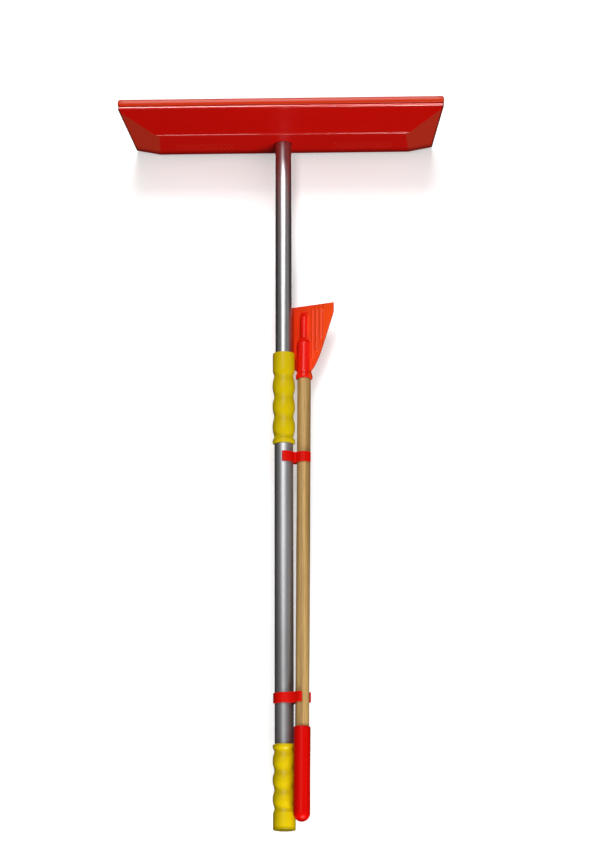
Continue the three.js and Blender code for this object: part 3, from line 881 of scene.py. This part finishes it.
def washer_disc(name, node):
    """A flat ring along Y, its rim chamfered, in the place of a node."""
    low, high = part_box(node)
    thickness = high.y - low.y
    profile = [
        (WASHER_HOLE, 0),
        (washer_rim, 0),
        (WASHER_RADIUS, thickness * 0.4),
        (WASHER_RADIUS, thickness * 0.6),
        (washer_rim, thickness),
        (WASHER_HOLE, thickness),
    ]
    made = turned(name, profile, closed=True, facets=48)
    made.data.transform(Matrix.Rotation(-math.pi / 2, 4, "X"))
    made.data.transform(Matrix.Translation(((low.x + high.x) / 2, low.y, (low.z + high.z) / 2)))
    return made


for node in ("front_washer", "back_washer"):
    washer = washer_disc(node + "_disc", node)
    paint(washer, zinc_plate)
    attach(washer, "inner_pole")
    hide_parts(node)
for node in ("head_bolt", "head_nut"):
    paint(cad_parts[node], zinc_plate)


# Spring clips. Two red S-shaped mouldings, each with a wide jaw that snaps on the outer tube and a
# narrow one for the scraper's dowel. Both come from one mould; the upper one is fitted flipped.

CLIP_WALL = 2.2 * MM
POLE_JAW_HALF_OPENING = math.radians(61)
POLE_JAW_TURN = math.radians(21)
DOWEL_JAW_HALF_OPENING = math.radians(54)
DOWEL_JAW_TURN = math.radians(16)
POLE_BORE = outer_radius + 0.25 * MM
DOWEL_BORE = 10.65 * MM
NECK_FILLET = 2.6 * MM
BAND_FILLET = 30 * MM


def arc(centre, radius, start, stop, steps):
    """Points on an arc, its ends among them."""
    angles = (start + (stop - start) * step / steps for step in range(steps + 1))
    return [centre + radius * Vector((math.cos(a), math.sin(a))) for a in angles]


def jaw_end(centre, bore, angle, outward):
    """The rounded tip of a jaw, from its outside to its inside or back."""
    middle = centre + (bore + CLIP_WALL / 2) * Vector((math.cos(angle), math.sin(angle)))
    if outward:
        return arc(middle, CLIP_WALL / 2, angle + math.pi, angle + 2 * math.pi, 8)[1:-1]
    return arc(middle, CLIP_WALL / 2, angle, angle + math.pi, 8)[1:-1]


def neck_fillet(big, big_radius, small, small_radius, side, fillet):
    """Centre of the hollow corner between the two rings."""
    gap = (small - big).length
    a = big_radius + fillet
    b = small_radius + fillet
    along = (a * a - b * b + gap * gap) / (2 * gap)
    up = side * math.sqrt(a * a - along * along)
    return Vector((along, up)) + big


def clip_outline(distance, flip):
    """The clip's outline seen along the pole, with the wide jaw round the origin."""
    big = Vector((0, 0))
    small = Vector((distance, 0))
    big_out = POLE_BORE + CLIP_WALL
    small_out = DOWEL_BORE + CLIP_WALL
    big_open = math.pi - flip * POLE_JAW_TURN
    small_open = -flip * DOWEL_JAW_TURN
    big_from = big_open + POLE_JAW_HALF_OPENING
    big_to = big_open + 2 * math.pi - POLE_JAW_HALF_OPENING
    small_from = small_open + DOWEL_JAW_HALF_OPENING
    small_to = small_open + 2 * math.pi - DOWEL_JAW_HALF_OPENING
    lower_fillet, upper_fillet = (BAND_FILLET, NECK_FILLET) if flip > 0 else (NECK_FILLET, BAND_FILLET)
    lower = neck_fillet(big, big_out, small, small_out, -1, lower_fillet)
    upper = neck_fillet(big, big_out, small, small_out, 1, upper_fillet)
    lower_on_big = math.atan2(lower.y, lower.x) + 2 * math.pi
    upper_on_big = math.atan2(upper.y, upper.x) + 2 * math.pi
    lower_on_small = math.atan2(lower.y, lower.x - distance) + 2 * math.pi
    upper_on_small = math.atan2(upper.y, upper.x - distance)
    points = arc(big, big_out, big_from, lower_on_big, 20)
    points += arc(lower, lower_fillet, lower_on_big - math.pi, lower_on_small - math.pi, 6)[1:-1]
    points += arc(small, small_out, lower_on_small, small_to, 20)
    points += jaw_end(small, DOWEL_BORE, small_to, outward=False)
    points += arc(small, DOWEL_BORE, small_to, small_from, 40)
    points += jaw_end(small, DOWEL_BORE, small_from, outward=True)
    points += arc(small, small_out, small_from, upper_on_small, 20)
    points += arc(upper, upper_fillet, upper_on_small - math.pi, upper_on_big - 3 * math.pi, 6)[1:-1]
    points += arc(big, big_out, upper_on_big, big_to, 20)
    points += jaw_end(big, POLE_BORE, big_to, outward=False)
    points += arc(big, POLE_BORE, big_to, big_from, 44)
    points += jaw_end(big, POLE_BORE, big_from, outward=True)
    return points


def extruded(name, outline, bottom, top, sharp=35):
    """A flat outline carried up from one height to another."""
    count = len(outline)
    vertices = [(x, y, bottom) for x, y in outline] + [(x, y, top) for x, y in outline]
    faces = [tuple(reversed(range(count))), tuple(range(count, 2 * count))]
    faces += [(s, (s + 1) % count, (s + 1) % count + count, s + count) for s in range(count)]
    return mesh_object(name, vertices, faces, sharp)


CLIP_RED = (0.66, 0.004, 0.0006)
CLIP_RED_DEEP = (0.6, 0.003, 0.0006)
clip_plastic = glossy_red("clip_red_plastic", CLIP_RED, CLIP_RED_DEEP, roughness=0.45, gloss=0.08)
SCRAPER_FOOT = Vector((25.5 * MM, -20.9 * MM, 0))
SCRAPER_LEAN = Vector((0.00725, 0.0407, 1))
for node, flip in (("clip_lower", 1), ("clip_upper", -1)):
    low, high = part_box(node)
    middle = (low.z + high.z) / 2
    axis = SCRAPER_FOOT + SCRAPER_LEAN * middle
    outline = clip_outline(math.hypot(axis.x, axis.y), flip)
    clip = extruded(node + "_moulding", outline, low.z, high.z, sharp=30)
    clip.data.transform(Matrix.Rotation(math.atan2(axis.y, axis.x), 4, "Z"))
    ease_edges(clip, 0.5 * MM, angle=50)
    paint(clip, clip_plastic)
    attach(clip, "clips")
    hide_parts(node)


# Scraper's handle. A turned hardwood dowel, 20.5 mm across, thinly varnished, its end reduced to
# fit the blade's socket. Darker grain lines run along it.

SCRAPER_AXIS = SCRAPER_LEAN.normalized()
scraper_place = Matrix.Translation(SCRAPER_FOOT)
scraper_place @= Vector((0, 0, 1)).rotation_difference(SCRAPER_AXIS).to_matrix().to_4x4()

DOWEL = 10.25 * MM
TENON = 9.2 * MM
GRIP_BOTTOM = 10 * MM
GRIP_TOP = 148.3 * MM
SOCKET_BOTTOM = 677 * MM
SOCKET_TOP = 739.5 * MM
TENON_TOP = 728 * MM
dowel_bottom = GRIP_BOTTOM + 12.3 * MM
dowel_profile = [(0, dowel_bottom), (DOWEL - 1.5 * MM, dowel_bottom), (DOWEL, dowel_bottom + 2 * MM)]
steps = 60
for step in range(1, steps):
    height = dowel_bottom + (SOCKET_BOTTOM - dowel_bottom) * step / steps
    waver = 0.07 * MM * math.sin(height * 19) + 0.05 * MM * math.sin(height * 47 + 1)
    dowel_profile.append((DOWEL - 0.08 * MM + waver, height))
dowel_profile += [(DOWEL - 0.2 * MM, SOCKET_BOTTOM - 0.3 * MM), (TENON, SOCKET_BOTTOM - 0.3 * MM)]
dowel_profile += [(TENON, TENON_TOP - 1 * MM), (TENON - 1 * MM, TENON_TOP), (0, TENON_TOP)]
dowel = turned("scraper_dowel", dowel_profile)


def turned_hardwood():
    """Straight-grained varnished wood: bands of growth, dark pores and a few streaks and flecks."""
    wood = Finish("varnished_hardwood")
    bands = wood.grain(150, (1, 1, 0.02), detail=3, roughness=0.5)
    pores = wood.ramp(wood.grain(1700, (1, 1, 0.02), detail=2), (0.54, 0), (0.68, 1))
    streaks = wood.ramp(wood.grain(340, (1, 1, 0.012), detail=4, roughness=0.6), (0.56, 0), (0.7, 1))
    cloud = wood.grain(16, (1, 1, 0.4), detail=4)
    growth = wood.ramp(bands, (0.36, 0), (0.64, 1))
    early = wood.blend(growth, (0.26, 0.145, 0.042, 1), (0.6, 0.385, 0.14, 1))
    streaked = wood.blend(0.75 * streaks, early, (0.2, 0.1, 0.032, 1))
    pored = wood.blend(0.55 * pores, streaked, (0.15, 0.078, 0.028, 1))
    wood.set(
        Base_Color=wood.blend(0.35 * cloud, pored, (0.5, 0.29, 0.1, 1)),
        Roughness=0.42 + 0.2 * (bands - 0.5) + 0.15 * pores,
        Specular_IOR_Level=0.2,
        Coat_Weight=0.06,
        Coat_Roughness=0.3,
    )
    wood.bump(1 - pores, 0.00008, 0.4)
    return wood


dowel.matrix_world = scraper_place
paint(dowel, turned_hardwood())
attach(dowel, "scraper")
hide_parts("scraper_handle")


# Scraper's grip. Red vinyl that the dowel's end was dipped in. It hung to a round bottom as it set,
# and its upper edge is thin and a little uneven.

VINYL = 12.4 * MM
grip_points = []
for step in range(17):
    angle = math.pi / 2 * step / 16
    grip_points.append((VINYL * math.sin(angle), GRIP_BOTTOM + VINYL * (1 - math.cos(angle))))
for step in range(1, 24):
    height = GRIP_BOTTOM + VINYL + (GRIP_TOP - GRIP_BOTTOM - VINYL) * step / 24
    grip_points.append((VINYL - 0.15 * MM + 0.08 * MM * math.sin(height * 60), height))
grip_points += [(VINYL - 0.1 * MM, GRIP_TOP - 1.2 * MM), (VINYL - 0.5 * MM, GRIP_TOP - 0.35 * MM)]
grip_points += [(VINYL - 1 * MM, GRIP_TOP), (DOWEL + 0.15 * MM, GRIP_TOP - 0.1 * MM)]
grip_points += [(DOWEL + 0.15 * MM, GRIP_BOTTOM + 12 * MM), (0, GRIP_BOTTOM + 12 * MM)]
dipped_grip = turned("scraper_dipped_grip", grip_points)
dipped_grip.matrix_world = scraper_place
VINYL_RED = (0.64, 0.002, 0.0005)
VINYL_RED_SHADE = (0.56, 0.0015, 0.0004)
red_vinyl = soft_vinyl("red_dipped_vinyl", VINYL_RED, VINYL_RED_SHADE, gloss=0.08, foot=GRIP_BOTTOM)
paint(dipped_grip, red_vinyl)
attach(dipped_grip, "scraper")
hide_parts("scraper_grip")


# Scraper's blade. One stiff orange-red moulding: a fan-shaped blade thinned at its edge, a socket
# with a flared mouth, a half-round tongue that runs up the blade, and three ice-breaking ribs.

BLADE_TURN = math.radians(-23)
BLADE_TOP = 793 * MM
BLADE_HALF = 48 * MM
BLADE_THICK = 3.4 * MM
SOCKET = 11.3 * MM
SOCKET_MOUTH = 12.7 * MM
TONGUE = 6.8 * MM
WAIST = BLADE_TOP - 77 * MM
FAN_BOTTOM = BLADE_TOP - 106 * MM
TONGUE_TOP = BLADE_TOP - 8 * MM


def fan_half(height):
    """Half the blade's width at a height: straight sides, then a curve in to the socket."""
    shoulder = BLADE_TOP - 16 * MM
    if height >= shoulder:
        return BLADE_HALF
    if height >= WAIST:
        return 27 * MM + (BLADE_HALF - 27 * MM) * (height - WAIST) / (shoulder - WAIST)
    share = max(0, (height - FAN_BOTTOM) / (WAIST - FAN_BOTTOM))
    return 8 * MM + 19 * MM * share ** 0.62


blade_vertices = []
blade_faces = []
fan_rows = [FAN_BOTTOM + (BLADE_TOP - FAN_BOTTOM) * step / 48 for step in range(49)]
for height in fan_rows:
    half = fan_half(height)
    thin = max(0, height - BLADE_TOP + 12 * MM) / (12 * MM)
    front = -BLADE_THICK / 2 + thin * (BLADE_THICK - 1 * MM)
    for x, y in ((-half, front), (half, front), (half, BLADE_THICK / 2), (-half, BLADE_THICK / 2)):
        blade_vertices.append((x, y, height))
for row in range(48):
    a = 4 * row
    for side in range(4):
        other = (side + 1) % 4
        blade_faces.append((a + side, a + other, a + 4 + other, a + 4 + side))
blade_faces += [(0, 3, 2, 1), (192, 193, 194, 195)]
fan = mesh_object("fan", blade_vertices, blade_faces)
socket_profile = rounded(
    [
        (0, SOCKET_BOTTOM, 0),
        (SOCKET_MOUTH, SOCKET_BOTTOM, 0.8 * MM),
        (SOCKET_MOUTH, SOCKET_BOTTOM + 5 * MM, 1.5 * MM),
        (SOCKET, SOCKET_BOTTOM + 10 * MM, 4 * MM),
        (SOCKET, SOCKET_TOP - 7 * MM, 5 * MM),
        (TONGUE, SOCKET_TOP + 2 * MM, 2 * MM),
        (TONGUE, TONGUE_TOP - 11 * MM, 4 * MM),
        (0, TONGUE_TOP, 0),
    ],
    closed=False,
)
socket = turned("socket", socket_profile, facets=64)

# Each rib's distance from the blade's middle, its width and its length, in millimetres.
BARS = ((14.6, 5, 79), (21.4, 4.6, 69), (28.2, 4.6, 51))
BAR_FLATNESS = 0.8
bars = []
bar_top = BLADE_TOP - 7 * MM
for at, width, length in BARS:
    bar_bottom = bar_top - length * MM
    half = width * MM / 2
    bar_profile = [(0, bar_bottom)]
    for step in range(1, 9):
        angle = math.pi / 2 * step / 8
        bar_profile.append((half * math.sin(angle), bar_bottom + half * (1 - math.cos(angle))))
    for step in range(9):
        angle = math.pi / 2 * step / 8
        bar_profile.append((half * math.cos(angle), bar_top - half + half * math.sin(angle)))
    bar = turned(f"bar_{at:.0f}", bar_profile, facets=32)
    flattened = Matrix.Diagonal((1, BAR_FLATNESS, 1, 1))
    bar.data.transform(Matrix.Translation((at * MM, -BLADE_THICK / 2, 0)) @ flattened)
    bars.append(bar)

VOXEL = 0.5 * MM
joined = bmesh.new()
for part in (fan, socket, *bars):
    joined.from_mesh(part.data)
    bpy.data.objects.remove(part)
blade_mesh = bpy.data.meshes.new("scraper_blade_moulding")
joined.to_mesh(blade_mesh)
joined.free()
blade = bpy.data.objects.new("scraper_blade_moulding", blade_mesh)
scene.collection.objects.link(blade)
fuse = blade.modifiers.new("fuse", "REMESH")
fuse.mode = "VOXEL"
fuse.voxel_size = VOXEL
relax = blade.modifiers.new("relax", "SMOOTH")
relax.factor = 0.6
relax.iterations = 2
bore_profile = rod_profile(TENON + 0.2 * MM, SOCKET_BOTTOM - 9 * MM, TENON_TOP + 1 * MM)
socket_bore = turned("socket_bore", bore_profile, facets=64)
hollow = blade.modifiers.new("hollow", "BOOLEAN")
hollow.object = socket_bore
hollow.operation = "DIFFERENCE"
settle(blade)
bpy.data.objects.remove(socket_bore)
blade.data.shade_smooth()
blade.data.set_sharp_from_angle(angle=math.radians(50))
blade.data.transform(Matrix.Rotation(BLADE_TURN, 4, "Z"))
blade.matrix_world = scraper_place

# The socket and the tongue are the full red. The thin plate lets light through, so it is more
# orange towards the ribbed side, and painted shade darkens the grooves beside the ribs.
BLADE_RED = (0.82, 0.007, 0.0008)
BLADE_RED_DEEP = (0.75, 0.005, 0.0008)
THIN_PLATE = (0.93, 0.085, 0.009, 1)
GROOVE_SHADE = (0.36, 0.004, 0.0005, 1)
blade_red = glossy_red("scraper_orange_red", BLADE_RED, BLADE_RED_DEEP, roughness=0.3, gloss=0.2)
turned_x = math.cos(BLADE_TURN) * blade_red.along("X")
turned_y = math.sin(BLADE_TURN) * blade_red.along("Y")
across_blade = turned_x + turned_y
up_blade = blade_red.along("Z")
beside = abs(across_blade)
in_socket = blade_red.ramp((SOCKET - beside) * 400, (0, 0), (0.6, 1))
in_socket *= blade_red.ramp((SOCKET_TOP - up_blade) * 100, (0, 0), (0.4, 1))
in_tongue = blade_red.ramp((TONGUE - beside) * 400, (0, 0), (0.6, 1))
in_tongue *= blade_red.ramp((TONGUE_TOP - up_blade) * 200, (0.3, 0), (0.9, 1))
thin = blade_red.ramp((across_blade + 20 * MM) * 15, (0, 0.35), (1, 1)) * (1 - (in_socket | in_tongue))
# Painted shade along the foot of each rib.
grooves = 0
for at, width, _ in BARS:
    foot = (at + width / 2 + 0.3) * MM
    grooves = grooves + blade_red.ramp(abs(across_blade - foot) * 1000, (0.3, 1), (1, 0))
grooves *= blade_red.ramp((up_blade - BLADE_TOP + 75 * MM) * 100, (0, 0), (0.3, 1))
plate = blade_red.blend(0.9 * thin, blade_red.colour_so_far(), THIN_PLATE)
blade_red.set(
    Base_Color=blade_red.blend(0.55 * grooves, plate, GROOVE_SHADE),
    Coat_Weight=0.05,
    Coat_Roughness=0.08,
)
paint(blade, blade_red)
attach(blade, "scraper")
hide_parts("scraper_blade")


# Scraper's screw. A small zinc-plated self-tapping screw, driven in at the back of the socket, pins
# the dowel.

paint(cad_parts["scraper_screw"], zinc_plate)


# Floor. A white matt sheet that the tool lies on, so it is right behind the pole. It glows a little
# to stay white, gloss doesn't mirror it, and it is seen only from its front.

FLOOR_GAP = 6 * MM
FLOOR_HALF = 6
floor_y = cad_box[1].y + FLOOR_GAP
floor_corners = ((-1, -1), (1, -1), (1, 1), (-1, 1))
floor = mesh_object(
    "floor",
    [(x * FLOOR_HALF, floor_y, z * FLOOR_HALF + AIM.z) for x, z in floor_corners],
    [(0, 1, 2, 3)],
)
if floor.data.polygons[0].normal.y > 0:
    floor.data.flip_normals()
sheet = Finish("white_sheet")
sheet.set(
    Base_Color=(0.97, 0.97, 0.97, 1),
    Roughness=0.9,
    Specular_IOR_Level=0.1,
    Emission_Color=(1, 1, 1, 1),
    Emission_Strength=0.3,
)
clear = sheet.node("BsdfTransparent", {}, {})
behind = sheet.node("NewGeometry", {}, {}, "Backfacing")
front = Wire(sheet, sheet.shader.outputs[0])
shown = sheet.node("MixShader", {}, {0: behind, 1: front, 2: clear})
sheet.plug(sheet.tree.nodes["Material Output"].inputs["Surface"], shown)
paint(floor, sheet)
floor.visible_glossy = False
floor.visible_diffuse = False
floor.visible_shadow = False
